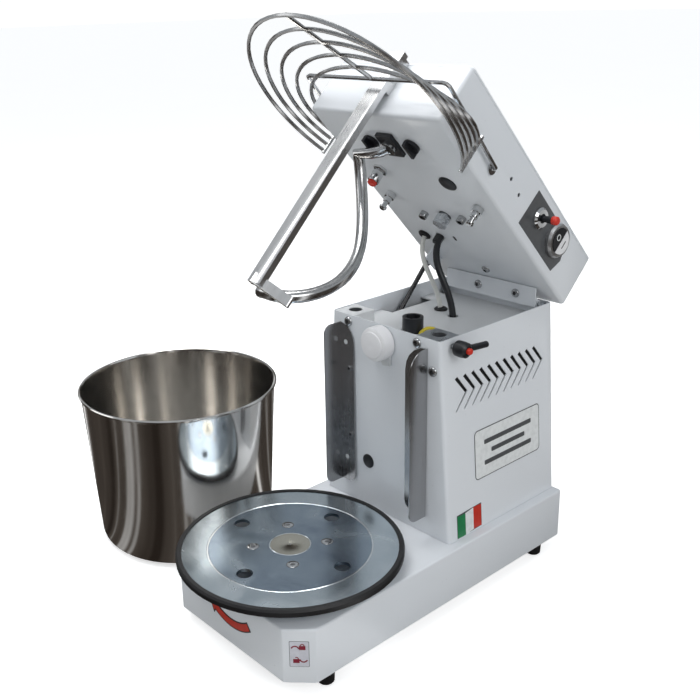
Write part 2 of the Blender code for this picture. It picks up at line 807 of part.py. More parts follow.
def build_head_drive(head, coupling_pivot, spiral_pivot):
    """Coupling, chain and bearings that carry the drive across the head to the spiral."""
    inside = SHEET + GAP
    drive = at(0, MOTOR_Y, HEAD_LOW)
    mixing = at(0, SPIRAL_Y, HEAD_LOW)
    wheel_low, wheel_high = 0.0480, 0.0540
    hex_low, hex_high = -0.0155, -0.0030
    coupling = prism("coupling_shaft", [hexagon(0.0170)], hex_low, hex_high, drive)
    join(coupling, cylinder("journal", MOTOR_SHAFT_R, hex_low + 0.0010, wheel_high + 0.0040, drive, 18))
    paint("dark_steel", coupling)
    for name, bore, radius, place in (
        ("coupling_bearing", MOTOR_SHAFT_R, 0.0200, drive),
        ("spiral_bearing", SPINDLE_R, 0.0240, mixing),
    ):
        high = inside + 0.0380
        profile = [(bore + GAP, inside), (radius, inside), (radius, high), (bore + GAP, high)]
        bearing = lathe(name, profile, place)
        hang(head, bearing)
        paint("cast_grey", bearing)
    small = sprocket("coupling_sprocket", 12, PINION_R, MOTOR_SHAFT_R + GAP, wheel_low, wheel_high, drive)
    large = sprocket("spiral_sprocket", 24, SPIRAL_SPROCKET_R, SPINDLE_R + GAP, wheel_low, wheel_high, mixing)
    low, high = wheel_low + 0.0005, wheel_high - 0.0005
    place = at(0, 0, HEAD_LOW)
    band = chain("head_chain", SPIRAL_Y, SPIRAL_SPROCKET_R, MOTOR_Y, PINION_R, low, high, place)
    flange = box("spiral_flange", (-0.0120, 0.0120), (-0.0180, 0.0180), (-0.0053, -GAP), mixing)
    cut(flange, cylinder("flange_bore", SPINDLE_R + GAP, -0.02, 0.01, mixing, 20))
    paint("black_plastic", flange)
    hang(head, band, flange)
    hang(coupling_pivot, coupling, small)
    hang(spiral_pivot, large)


def spiral_path():
    """The hook's centre line: out from the spindle, down round the mixing axis and in along the floor."""
    path = [(0, 0, -0.0080), (-0.0080, 0, -0.0135), (-0.0200, 0, -0.0175)]
    count = 30
    for i in range(count + 1):
        share = i / count
        depth = 0.0210 + 0.2170 * math.sin(math.pi / 2 * min(1.0, share / 0.92)) ** 1.4
        turn = math.radians(-178 - 287 * share)
        radius = 0.0400 - 0.0040 * min(1.0, max(0.0, (share - 0.35) / 0.35))
        path.append((radius * math.cos(turn), radius * math.sin(turn), -depth))
    return path


def build_mixing_tools(head, spiral_pivot):
    mixing = at(0, SPIRAL_Y, HEAD_LOW)
    hook = rod("spiral_hook", spiral_path(), 0.0070, 4, mixing)
    join(hook, cylinder("spindle", SPINDLE_R, -0.0100, 0.0580, mixing, 20))
    hang(spiral_pivot, hook)

    # The bar leans back a little from its spacer on the head's front, and its foot passes beside the hook.
    half, thick = 0.0105, 0.0080
    top, bottom = HEAD_LOW + 0.0780, HEAD_LOW - 0.2390
    front_top, front_bottom = 0.0075, 0.0160
    front, rear = (front_top, front_bottom), (front_bottom + thick, front_top + thick)
    side = list(zip(front + rear, (top, bottom, bottom, top)))
    bar = prism("dough_bar", [side], -half, half, PLANE_YZ)
    rise = (HEAD_LOW + 0.0270, HEAD_LOW + 0.0740)
    spacer = box("spacer", (-half, half), (front_top + 0.0040, HEAD_FRONT - GAP), rise)
    outline = fillet(rectangle(-0.0070, 0.0470, -0.0030, 0.0030), 0.0028, 3)
    foot = prism("foot", [outline], 0, 0.0120)
    descent = Matrix.Identity(4)
    descent[2][0] = -0.11
    foot.data.transform(descent)
    turned = Matrix.Rotation(math.radians(31.5), 4, "Z")
    foot.matrix_world = at(0, front_bottom + 0.0025, bottom - 0.0012) @ turned
    join(bar, spacer, foot)
    hang(head, bar)
    paint("stainless", hook, bar)


# Wire guard

def guard_ring(index):
    """One bowed wire, from the left post round the front to the right post, about the guard's pivot."""
    half = 0.1380 - 0.0040 * index
    apex_y, apex_z = -0.1390 + 0.0275 * index, -0.0110 + 0.0080 * index
    end_y, end_z = GUARD_POST_Y, -0.0170 + 0.0092 * index
    # The ring is an arc of an ellipse that meets the posts behind its widest place.
    spread = math.acos(GUARD_ARM_X / half)
    depth = (end_y - apex_y) / (1 + math.sin(spread))
    centre_y = apex_y + depth
    path = []
    count = 40
    for i in range(count + 1):
        turn = -spread + (math.pi + 2 * spread) * i / count
        y = centre_y - depth * math.sin(turn)
        share = (y - apex_y) / (end_y - apex_y)
        z = HEAD_LOW + apex_z + (end_z - apex_z) * share
        path.append((half * math.cos(turn), y - GUARD_PIVOT_Y, z - GUARD_PIVOT_Z))
    return path


def build_guard(head, guard_pivot):
    place = at(0, GUARD_PIVOT_Y, GUARD_PIVOT_Z)
    arm = GUARD_ARM_X
    front_y, front_z = GUARD_FRONT_Y - GUARD_PIVOT_Y, GUARD_FRONT_Z - GUARD_PIVOT_Z
    path = [(-0.0960, 0, 0), (-arm + 0.0020, 0, 0), (-arm, -0.0020, 0), (-arm, front_y + 0.0060, front_z)]
    path += [(-arm + 0.0020, front_y + 0.0015, front_z), (-arm + 0.0060, front_y, front_z)]
    path += [(-x, y, z) for x, y, z in reversed(path)]
    guard = rod("wire_guard", path, WIRE_R, 2, place)
    for side in (-1, 1):
        y = GUARD_POST_Y - GUARD_PIVOT_Y
        post = [(side * arm, y, 0.0080), (side * arm, y, -0.0415)]
        join(guard, rod("post", post, WIRE_R, 2, place))
    for index in range(5):
        join(guard, rod("ring", guard_ring(index), WIRE_R * 0.95, 1, place))
    rib = [(0, front_y - 0.0010, front_z), (0, -0.1395 - GUARD_PIVOT_Y, -0.0323)]
    join(guard, rod("rib", rib, WIRE_R, 2, place))
    hang(guard_pivot, guard)
    paint("stainless", guard)

    bore = WIRE_R + GAP
    for name, side in (("guard_bushing_left", -1), ("guard_bushing_right", 1)):
        profile = [
            (bore, 0.0985),
            (0.0054, 0.0985),
            (0.0054, HEAD_HALF + GAP),
            (0.0072, HEAD_HALF + GAP),
            (0.0072, HEAD_HALF + 0.0020),
            (bore, HEAD_HALF + 0.0020),
        ]
        bushing = lathe(name, profile, place @ Matrix.Rotation(side * math.pi / 2, 4, "Y"), 18)
        hang(head, bushing)
        paint("black_plastic", bushing)


# Small pieces on the head

def build_under_head_fittings(head):
    low = HEAD_LOW - GAP
    for name, x in (("clamp_knob_left", -0.0325), ("clamp_knob_right", 0.0325)):
        place = at(x, SPIRAL_Y, low)
        knob = cylinder(name, 0.0105, -0.0040, 0, place, 20)
        join(knob, box("fin", (-0.0020, 0.0020), (-0.0120, 0.0120), (-0.0100, -0.0030), place))
        hang(head, knob)
        paint("black_plastic", knob)
    profile = [
        (0, -0.0200),
        (0.0070, -0.0200),
        (0.0075, -0.0190),
        (0.0075, -0.0060),
        (0.0042, -0.0060),
        (0.0042, 0.0123),
        (0, 0.0123),
    ]
    plunger = lathe("interlock_plunger", profile, at(-0.0560, 0.1310, low), 20)
    x = STRUT_X + 0.0055
    bracket = box("strut_bracket", (x, x + 0.0025), (0.3050, 0.3330), (HEAD_LOW - 0.0190, low))
    place = at(0, 0.3180, HEAD_LOW - 0.0170) @ ALONG_X
    join(bracket, cylinder("bracket_stud", 0.0028, STRUT_X + 0.0033, x + 0.0010, place, 12))
    hang(head, plunger, bracket)
    paint("chrome", plunger)
    paint("white_paint", bracket)


def build_switches(head):
    """A toggle in a chrome collar, and a round switch with an off and an on half."""
    toggle = at(HEAD_HALF, 0.2500, HEAD_LOW + 0.0410) @ ALONG_X
    profile = [
        (0.0060, -0.0180),
        (0.0068, -0.0180),
        (0.0068, GAP),
        (0.0135, GAP),
        (0.0135, 0.0033),
        (0.0110, 0.0058),
        (0.0060, 0.0058),
    ]
    collar = lathe("toggle_collar", profile, toggle, 24)
    stem = [(0, -0.0080), (0.0036, -0.0080), (0.0036, 0.0063)]
    profile = [*stem, (0.0052, 0.0223), (0.0048, 0.0263), (0, 0.0273)]
    lever = lathe("toggle_lever", profile, toggle, 18)

    switch = at(HEAD_HALF, 0.3000, HEAD_LOW + 0.0435) @ ALONG_X
    profile = [
        (0.0138, -0.0280),
        (0.0147, -0.0280),
        (0.0147, GAP),
        (0.0215, GAP),
        (0.0220, 0.0043),
        (0.0200, 0.0078),
        (0.0172, 0.0083),
        (0.0172, 0.0033),
        (0.0138, 0.0033),
    ]
    bezel = lathe("switch_bezel", profile, switch, 32)
    buttons = []
    for name, begin, shift in (("switch_button_off", 180, -0.0004), ("switch_button_on", 0, 0.0004)):
        outline = arc((0, shift), 0.0164, begin, begin + 180, 14)
        buttons.append(prism(name, [outline], 0.0058, 0.0093, switch))
    hang(head, collar, lever, bezel, *buttons)
    paint("chrome", collar)
    paint("black_plastic", lever, buttons[0])
    paint("white_plastic", bezel, buttons[1])


# Bowl

def build_bowl():
    wall = 0.0010
    low_r, bend = 0.1235, 0.0160
    outer = [(0, 0), *arc((low_r - bend, bend), bend, -90, -5, 5)]
    rim_r, rim_z, bead = BOWL_R - 0.0022, BOWL_HIGH - 0.0022, 0.0022
    outer.append((rim_r - 0.0012, rim_z - bead))
    outer += arc((rim_r, rim_z), bead, -60, 180, 6)
    inner = [(rim_r - 0.0016 - wall, rim_z - 0.0040)]
    inner += arc((low_r - bend, bend), bend - wall, -5, -90, 5)
    bowl = lathe("bowl", [*outer, *inner, (0, wall)], at(BOWL_X, BOWL_Y, 0), 72)
    paint("stainless", bowl)


def build():
    clear_scene()
    collection("cutters").hide_render = True
    head = pivot("head_pivot", Matrix.Translation(HINGE))
    guard_pivot = pivot("guard_pivot", at(0, GUARD_PIVOT_Y, GUARD_PIVOT_Z), head)
    coupling_pivot = pivot("coupling_pivot", at(0, MOTOR_Y, HEAD_LOW), head)
    spiral_pivot = pivot("spiral_pivot", at(0, SPIRAL_Y, HEAD_LOW), head)
    closed = head.matrix_world.copy()
    opened = closed @ Matrix.Rotation(-OPEN_ANGLE, 4, "X")

    build_base()
    build_turntable()
    build_base_drive()
    build_column()
    build_pin_sockets()
    build_bowl_guards()
    build_roller()
    build_lock()
    build_strut()
    build_hinge(head)
    build_head_shell(head)
    build_locating_pins(head)
    build_head_drive(head, coupling_pivot, spiral_pivot)
    build_mixing_tools(head, spiral_pivot)
    build_guard(head, guard_pivot)
    build_under_head_fittings(head)
    build_switches(head)
    build_bowl()
    build_cables(opened @ closed.inverted())
    head.matrix_world = opened


build()
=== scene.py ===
"""Looks of a countertop tilt-head spiral dough mixer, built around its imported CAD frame.

Metres, +Z up. The turntable end faces -Y and the switch side is +X. The head's pieces are placed in the
closed position, with the head level, and OPENED swings them to where the head rests.
"""

import math

import bmesh
import bpy
from mathutils import Matrix, Vector


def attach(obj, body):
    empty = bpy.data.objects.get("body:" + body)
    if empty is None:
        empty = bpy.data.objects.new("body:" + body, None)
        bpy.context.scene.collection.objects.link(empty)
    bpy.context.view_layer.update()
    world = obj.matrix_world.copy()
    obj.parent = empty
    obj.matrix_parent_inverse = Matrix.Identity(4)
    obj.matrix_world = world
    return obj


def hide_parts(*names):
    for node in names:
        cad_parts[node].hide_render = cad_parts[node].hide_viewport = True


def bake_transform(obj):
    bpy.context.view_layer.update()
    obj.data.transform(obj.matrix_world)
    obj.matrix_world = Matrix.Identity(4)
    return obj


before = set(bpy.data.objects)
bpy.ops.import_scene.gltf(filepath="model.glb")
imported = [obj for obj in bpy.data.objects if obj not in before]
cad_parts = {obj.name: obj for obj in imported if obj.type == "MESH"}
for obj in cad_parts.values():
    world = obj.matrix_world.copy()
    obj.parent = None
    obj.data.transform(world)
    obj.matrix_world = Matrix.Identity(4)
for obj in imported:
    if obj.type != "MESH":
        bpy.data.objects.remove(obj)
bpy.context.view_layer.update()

# Camera
CAMERA_PLACE = (0.78525, -0.64316, 0.72844)
CAMERA_RIGHT = (0.66194, 0.74908, -0.02665)
CAMERA_UP = (-0.22795, 0.23505, 0.94488)
CAMERA_LENS = 49.42
CAMERA_SHIFT = (0.0600, -0.0243)

# Head
HINGE = Vector((0, 0.3738, 0.3450))
OPEN_ANGLE = math.radians(46.2)
HEAD_HALF = 0.1032
HEAD_LOW = 0.3570
HEAD_V0 = 0.3730  # the head's own measure forward starts here
OPENED = Matrix.Translation(HINGE) @ Matrix.Rotation(-OPEN_ANGLE, 4, "X") @ Matrix.Translation(-HINGE)

# Column and base
COLUMN_LOW = 0.0870
COLUMN_TOP = 0.3491
COLUMN_HALF_LOW = 0.1109
COLUMN_HALF_TOP = 0.0916
COLUMN_FRONT_LOW = 0.1632
COLUMN_FRONT_TOP = 0.1610
DECK_TOP = 0.3290
BASE_HALF = 0.1236
BASE_FRONT = -0.0966
BASE_CHAMFER = 0.0264

# Turntable
TABLE_TOP = 0.1093
TABLE_BOSS_R = 0.0248
TABLE_SCREW_R = 0.0450
TABLE_SCREW_TURN = 0.9309
TABLE_GROOVE_R = 0.0997

# Bowl
BOWL = Vector((-0.2912, 0.0450, 0))  # the middle of its foot

# Studio
CARD_TURN = 0.6  # turns the bands that the bare metal reflects
STICKER_LOW = 0.0001  # a sticker's underside, clear of the paint
SMOOTH_BELOW = math.radians(32)  # CAD edges that bend less than this are shaded smooth

# Where the cables enter the head
CONDUIT_X = -0.0400
CONDUIT_Y = 0.2695
SIGNAL_X = -0.0690
SIGNAL_Y = 0.2724


# Places

def placing(origin, right, up):
    """A matrix whose X is right, Y is up and Z points out of the surface."""
    right, up = Vector(right).normalized(), Vector(up).normalized()
    out = right.cross(up)
    turn = Matrix((right, up, out)).transposed().to_4x4()
    return Matrix.Translation(origin) @ turn


def under_head(x, v, low=0.0):
    """On the head's underside, v forward from the hinge; low is the distance below it."""
    return OPENED @ placing((x, HEAD_V0 - v, HEAD_LOW - low), (1, 0, 0), (0, -1, 0))


def head_side(v, w, out=0.0):
    """On the head's switch side, v forward from the hinge and w up from the underside."""
    return OPENED @ placing((HEAD_HALF + out, HEAD_V0 - v, HEAD_LOW + w), (0, 1, 0), (0, 0, 1))


def column_share(z):
    return (z - COLUMN_LOW) / (COLUMN_TOP - COLUMN_LOW)


def column_side(y, z, out=0.0):
    """On the column's louvred side."""
    half = COLUMN_HALF_LOW + (COLUMN_HALF_TOP - COLUMN_HALF_LOW) * column_share(z)
    lean = COLUMN_HALF_TOP - COLUMN_HALF_LOW
    place = placing((half, y, z), (0, 1, 0), (lean, 0, COLUMN_TOP - COLUMN_LOW))
    return place @ Matrix.Translation((0, 0, out))


def column_face(x, z, out=0.0):
    """On the column's front."""
    y = COLUMN_FRONT_LOW + (COLUMN_FRONT_TOP - COLUMN_FRONT_LOW) * column_share(z)
    return placing((x, y - out, z), (1, 0, 0), (0, 0, 1))


# Material nodes

class Finish:
    """A node material being made: its tree, its Principled shader and its object coordinates."""

    def __init__(self, name, metallic=0.0, **sockets):
        self.material = bpy.data.materials.new(name)
        self.material.use_nodes = True
        self.tree = self.material.node_tree
        self.shader = self.tree.nodes["Principled BSDF"]
        self.shader.inputs["Metallic"].default_value = metallic
        for socket, value in sockets.items():
            self.shader.inputs[socket.replace("_", " ")].default_value = value
        self.place = self.node("ShaderNodeTexCoord").outputs["Object"]
        self.relief = None

    def node(self, kind, **settings):
        made = self.tree.nodes.new(kind)
        for name, value in settings.items():
            setattr(made, name, value)
        return made

    def feed(self, node, **inputs):
        """Links or sets a node's inputs, whose names use _ for a space."""
        for name, value in inputs.items():
            socket = node.inputs[name.replace("_", " ")]
            if isinstance(value, bpy.types.NodeSocket):
                self.tree.links.new(value, socket)
            else:
                socket.default_value = value
        return node

    def mapped(self, scale=(1, 1, 1), turn=(0, 0, 0), shift=(0, 0, 0)):
        node = self.node("ShaderNodeMapping")
        self.feed(node, Vector=self.place, Scale=scale, Rotation=turn, Location=shift)
        return node.outputs["Vector"]

    def noise(self, scale, detail=3.0, vector=None, distortion=0.0):
        node = self.node("ShaderNodeTexNoise")
        vector = self.place if vector is None else vector
        self.feed(node, Vector=vector, Scale=scale, Detail=detail, Distortion=distortion)
        return node.outputs["Fac"]

    def ramp(self, factor, *stops):
        """Colours or greys at their places, blended between."""
        node = self.node("ShaderNodeValToRGB")
        self.feed(node, Fac=factor)
        elements = node.color_ramp.elements
        while len(elements) < len(stops):
            elements.new(0.5)
        for element, (place, value) in zip(elements, stops):
            colour = value if isinstance(value, tuple) else (value, value, value)
            element.position = place
            element.color = (*colour, 1)
        return node.outputs["Color"]

    def math(self, operation, first, second=0.0):
        node = self.node("ShaderNodeMath", operation=operation)
        for socket, value in zip(node.inputs, (first, second)):
            if isinstance(value, bpy.types.NodeSocket):
                self.tree.links.new(value, socket)
            else:
                socket.default_value = value
        return node.outputs["Value"]

    def mix(self, share, first, second, blend="MIX"):
        node = self.node("ShaderNodeMix", data_type="RGBA", blend_type=blend)
        sockets = (node.inputs[0], node.inputs[6], node.inputs[7])
        for socket, value in zip(sockets, (share, first, second)):
            if isinstance(value, bpy.types.NodeSocket):
                self.tree.links.new(value, socket)
            else:
                socket.default_value = (*value, 1) if isinstance(value, tuple) else value
        return node.outputs[2]

    def colour(self, value):
        self.tree.links.new(value, self.shader.inputs["Base Color"])

    def roughness(self, value):
        self.tree.links.new(value, self.shader.inputs["Roughness"])

    def bump(self, height, depth, strength=1.0):
        """Adds relief of this depth in metres to what is there already."""
        node = self.node("ShaderNodeBump")
        self.feed(node, Height=height, Distance=depth, Strength=strength)
        if self.relief is not None:
            self.feed(node, Normal=self.relief)
        self.relief = node.outputs["Normal"]
        self.tree.links.new(self.relief, self.shader.inputs["Normal"])


def gloss_paint(name, low, high, rough=(0.27, 0.34)):
    """Sprayed gloss enamel: slight orange peel, faint dirt and dull patches from wiping."""
    made = Finish(name, Coat_Weight=0.25, Coat_Roughness=0.10)
    tone = made.ramp(made.noise(3.0, 1.0), (0.15, low), (0.85, high))
    specks = made.ramp(made.noise(260.0, 2.0), (0.71, 0.0), (0.80, 1.0))
    dirt = tuple(0.70 * part for part in low)
    made.colour(made.mix(made.math("MULTIPLY", specks, 0.4), tone, dirt))
    made.roughness(made.ramp(made.noise(7.0, 2.0), (0.15, rough[0]), (0.85, rough[1])))
    made.bump(made.noise(420.0, 2.0), 0.00003, 0.4)
    return made.material


def brushed_steel(name, colour, rough, grain, deep=0.00002, patch=9.0):
    """Sheet or bar with a drawn or brushed grain along one direction, and fingerprints."""
    made = Finish(name, metallic=1.0)
    lines = made.noise(1.0, 4.0, made.mapped(scale=grain))
    dark = tuple(0.80 * part for part in colour)
    made.colour(made.mix(lines, dark, colour))
    smears = made.noise(patch, 5.0, distortion=0.6)
    low, high = rough
    blend = made.math("ADD", made.math("MULTIPLY", smears, 0.7), made.math("MULTIPLY", lines, 0.3))
    made.roughness(made.ramp(blend, (0.32, low), (0.68, high)))
    made.bump(lines, deep, 0.5)
    return made.material


def polished_steel(name, colour, rough=(0.05, 0.14), streak=(14, 14, 2.5)):
    """Polished metal with long faint drawing streaks and a few wiping marks."""
    made = Finish(name, metallic=1.0)
    streaks = made.noise(6.0, 4.0, made.mapped(scale=streak))
    dark = tuple(0.86 * part for part in colour)
    made.colour(made.ramp(streaks, (0.30, dark), (0.66, colour)))
    made.roughness(made.ramp(made.noise(24.0, 6.0, distortion=1.0), (0.34, rough[0]), (0.72, rough[1])))
    made.bump(made.noise(900.0, 2.0), 0.000004, 0.5)
    return made.material


def turned_zinc():
    """Bright zinc-plated disc: turning marks round the axis, a groove, a boss edge and plating clouds, with
    painted highlights along the groove and boss edge and a darker painted reflection inside the groove.
    """
    made = Finish("turned_zinc", metallic=1.0)
    split = made.node("ShaderNodeSeparateXYZ")
    made.feed(split, Vector=made.place)
    across = made.math("MULTIPLY", split.outputs["X"], split.outputs["X"])
    along = made.math("MULTIPLY", split.outputs["Y"], split.outputs["Y"])
    radius = made.math("SQRT", made.math("ADD", across, along))
    clouds = made.noise(16.0, 6.0, distortion=0.8)
    spangle = made.noise(75.0, 3.0, distortion=1.5)
    outer = made.ramp(clouds, (0.28, (0.56, 0.64, 0.68)), (0.70, (0.74, 0.81, 0.84)))
    # Inside the groove the colour is darker and bluer: a painted reflection.
    inner_reflection_shades = (0.30, (0.24, 0.30, 0.38)), (0.55, (0.38, 0.46, 0.53)), (0.78, (0.56, 0.64, 0.69))
    inner = made.ramp(clouds, *inner_reflection_shades)
    tone = made.mix(made.math("LESS_THAN", radius, TABLE_GROOVE_R), outer, inner)
    tone = made.mix(made.math("MULTIPLY", spangle, 0.35), tone, (0.38, 0.45, 0.54))
    tone = made.mix(made.math("LESS_THAN", radius, TABLE_BOSS_R), tone, (0.60, 0.58, 0.50))
    # Bright rings at the groove and the boss edge: painted highlights, drawn over the groove's relief.
    lines = []
    for ring, half in ((TABLE_GROOVE_R, 0.0011), (TABLE_BOSS_R, 0.0007)):
        away = made.math("ABSOLUTE", made.math("SUBTRACT", radius, ring))
        lines.append(made.math("LESS_THAN", away, half))
    groove_highlight = made.math("MAXIMUM", *lines)
    made.colour(made.mix(groove_highlight, tone, (0.86, 0.90, 0.92)))
    made.roughness(made.ramp(clouds, (0.25, 0.16), (0.75, 0.30)))
    turning = made.math("SINE", made.math("MULTIPLY", radius, 9000.0))
    made.bump(turning, 0.000003, 0.35)
    made.bump(groove_highlight, 0.0006, 0.8)
    made.bump(spangle, 0.00002, 0.4)
    return made.material


def moulded(name, colour, rough=(0.35, 0.5), grain=520.0, deep=0.00003, **sockets):
    """Moulded plastic or rubber: fine spark-eroded grain, uneven sheen and a little dust."""
    made = Finish(name, **sockets)
    dust = made.ramp(made.noise(30.0, 6.0), (0.45, 0.0), (0.85, 1.0))
    light = tuple(min(1.0, part * 1.15 + 0.008) for part in colour)
    made.colour(made.mix(made.math("MULTIPLY", dust, 0.5), colour, light))
    made.roughness(made.ramp(made.noise(45.0, 4.0), (0.3, rough[0]), (0.7, rough[1])))
    made.bump(made.noise(grain, 3.0), deep, 0.6)
    return made.material


def cast_metal(name, colour):
    made = Finish(name, metallic=0.6)
    grit = made.noise(260.0, 5.0)
    dark = tuple(0.6 * part for part in colour)
    made.colour(made.mix(grit, dark, colour))
    made.roughness(made.ramp(made.noise(30.0, 4.0), (0.3, 0.55), (0.7, 0.8)))
    made.bump(grit, 0.0002, 0.8)
    return made.material


def dark_steel(name, colour):
    made = Finish(name, metallic=1.0)
    film = made.noise(34.0, 6.0, distortion=0.5)
    oily = tuple(0.55 * part for part in colour)
    made.colour(made.ramp(film, (0.3, oily), (0.7, colour)))
    made.roughness(made.ramp(film, (0.3, 0.25), (0.7, 0.48)))
    made.bump(made.noise(700.0, 3.0), 0.00001, 0.5)
    return made.material


def printed(name, colour, rough=0.28):
    """Vinyl sticker or printed film: an even ink with a trace of mottle, under a clear gloss."""
    made = Finish(name, Coat_Weight=0.3, Coat_Roughness=0.12)
    mottle = made.noise(160.0, 4.0)
    dark = tuple(0.88 * part for part in colour)
    made.colour(made.ramp(mottle, (0.30, dark), (0.60, colour)))
    made.roughness(made.ramp(made.noise(50.0, 3.0), (0.3, rough), (0.7, rough + 0.12)))
    made.bump(made.noise(300.0, 2.0), 0.00001, 0.3)
    return made.material


WHITE_PAINT = gloss_paint("white_gloss_paint", (0.735, 0.765, 0.80), (0.775, 0.80, 0.83))
INNER_PAINT = gloss_paint("white_inner_paint", (0.66, 0.68, 0.69), (0.72, 0.73, 0.74), (0.38, 0.48))
GUARD_STEEL = brushed_steel("brushed_stainless", (0.50, 0.50, 0.51), (0.22, 0.30), (90, 700, 12), patch=4.0)
BAR_STEEL = brushed_steel("drawn_bar_stainless", (0.74, 0.74, 0.74), (0.24, 0.34), (700, 60, 60), patch=4.0)
ROD_STEEL = polished_steel("polished_rod", (0.62, 0.62, 0.62), (0.15, 0.24), (40, 40, 40))
BOWL_STEEL = polished_steel("spun_bowl_stainless", (0.80, 0.78, 0.75), (0.10, 0.16), (6, 6, 0.8))
CHROME = polished_steel("chrome", (0.70, 0.71, 0.72), (0.06, 0.12))
SCREW_STEEL = polished_steel("screw_steel", (0.46, 0.47, 0.48), (0.16, 0.30), (300, 300, 300))
ZINC = brushed_steel("zinc_plate", (0.60, 0.63, 0.66), (0.24, 0.42), (120, 120, 400))
TABLE_ZINC = turned_zinc()
DARK_STEEL = dark_steel("oiled_dark_steel", (0.26, 0.26, 0.27))
CAST_GREY = cast_metal("cast_grey", (0.30, 0.30, 0.31))
RUBBER = moulded("black_rubber", (0.007, 0.007, 0.008), (0.45, 0.60), 380.0, 0.00005)
BLACK_PLASTIC = moulded("black_plastic", (0.010, 0.011, 0.014), (0.30, 0.45))
NYLON = moulded("white_nylon", (0.80, 0.80, 0.815), (0.32, 0.45))
# Grey for the painted shadow under the roller.
ROLLER_SHADOW_GREY = moulded("roller_shadow_grey", (0.62, 0.64, 0.65), (0.25, 0.4))
SATIN_SILVER = brushed_steel("satin_silver", (0.66, 0.67, 0.68), (0.30, 0.42), (60, 60, 300))
BLACK_ENAMEL = moulded("black_enamel", (0.012, 0.012, 0.014), (0.22, 0.34), 240.0, 0.00001)
CABLE_WHITE = moulded("cable_white", (0.74, 0.74, 0.70), (0.35, 0.5))
RED_PLASTIC = moulded("red_plastic", (0.62, 0.035, 0.02), (0.20, 0.32))
YELLOW_WIRE = moulded("yellow_wire", (0.62, 0.50, 0.03), (0.3, 0.45))
INK_BLACK = printed("ink_black", (0.022, 0.022, 0.024))
INK_GREY = printed("ink_grey", (0.085, 0.090, 0.095))
INK_RED = printed("ink_red", (0.60, 0.030, 0.012))
INK_GREEN = printed("ink_green", (0.012, 0.22, 0.075))
INK_WHITE = printed("ink_white", (0.82, 0.84, 0.84))
INK_PALE = printed("ink_pale", (0.66, 0.66, 0.72))
INK_CRIMSON = printed("ink_crimson", (0.26, 0.010, 0.030))

NODE_FINISHES = (
    (WHITE_PAINT, "base_shell column_shell head_tray head_lid hinge_strap strut_bracket"),
    (INNER_PAINT, "base_plate column_deck pin_socket_left"),
    (GUARD_STEEL, "bowl_guard_left bowl_guard_right"),
    (BAR_STEEL, "dough_bar"),
    (ROD_STEEL, "spiral_hook wire_guard"),
    (BOWL_STEEL, "bowl"),
    (CHROME, "locating_pin_left locating_pin_right interlock_plunger toggle_collar"),
    (CHROME, "guard_bushing_left guard_bushing_right roller_axle lock_stud"),
    (ZINC, "strut_anchor coupling_shaft turntable_bearing turntable_shaft hinge_pin pin_socket_right"),
    (TABLE_ZINC, "turntable_disc"),
    (DARK_STEEL, "base_chain head_chain motor_shaft motor_pinion turntable_sprocket"),
    (DARK_STEEL, "coupling_sprocket spiral_sprocket"),
    (CAST_GREY, "drive_motor coupling_bearing spiral_bearing"),
    (RUBBER, "turntable_rim foot_front_left foot_front_right foot_rear_left foot_rear_right"),
    (BLACK_PLASTIC, "drive_socket spiral_flange clamp_knob_left clamp_knob_right"),
    (BLACK_ENAMEL, "strut_rod strut_cylinder"),
    (BLACK_PLASTIC, "lock_lever toggle_lever switch_button_off"),
    (SATIN_SILVER, "switch_bezel"),
    (NYLON, "rim_roller switch_button_on"),
    (RED_PLASTIC, "lock_button"),
)


# Shapes

def piece(name, data, finish, body, place=None):
    """Links a new piece, gives it its material and hangs it on its CAD body."""
    made = bpy.data.objects.new(name, data)
    bpy.context.scene.collection.objects.link(made)
    if place is not None:
        made.matrix_world = place
    data.materials.append(finish)
    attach(made, body)
    return made


def meshed(name, shape, finish, body, smooth=35):
    data = bpy.data.meshes.new(name)
    bmesh.ops.recalc_face_normals(shape, faces=shape.faces)
    shape.to_mesh(data)
    shape.free()
    data.shade_smooth()
    data.set_sharp_from_angle(angle=math.radians(smooth))
    return piece(name, data, finish, body)


def add_turned(shape, place, profile, steps=24):
    """A turned solid about the place's Z from (radius, height) points that start and end on the axis."""
    rings = []
    for radius, height in profile:
        if radius == 0:
            rings.append([shape.verts.new(place @ Vector((0, 0, height)))])
            continue
        ring = []
        for i in range(steps):
            turn = 2 * math.pi * i / steps
            point = Vector((radius * math.cos(turn), radius * math.sin(turn), height))
            ring.append(shape.verts.new(place @ point))
        rings.append(ring)
    for low, high in zip(rings, rings[1:]):
        for i in range(steps):
            j = (i + 1) % steps
            corners = [low[i % len(low)], low[j % len(low)], high[j % len(high)], high[i % len(high)]]
            unique = list(dict.fromkeys(corners))
            if len(unique) > 2:
                shape.faces.new(unique)


def add_prism(shape, place, outline, low, high):
    """An outline in the place's X and Y, from one height to another."""
    floor = [shape.verts.new(place @ Vector((x, y, low))) for x, y in outline]
    roof = [shape.verts.new(place @ Vector((x, y, high))) for x, y in outline]
    shape.faces.new(floor)
    shape.faces.new(roof)
    for i in range(len(outline)):
        j = (i + 1) % len(outline)
        shape.faces.new((floor[i], floor[j], roof[j], roof[i]))


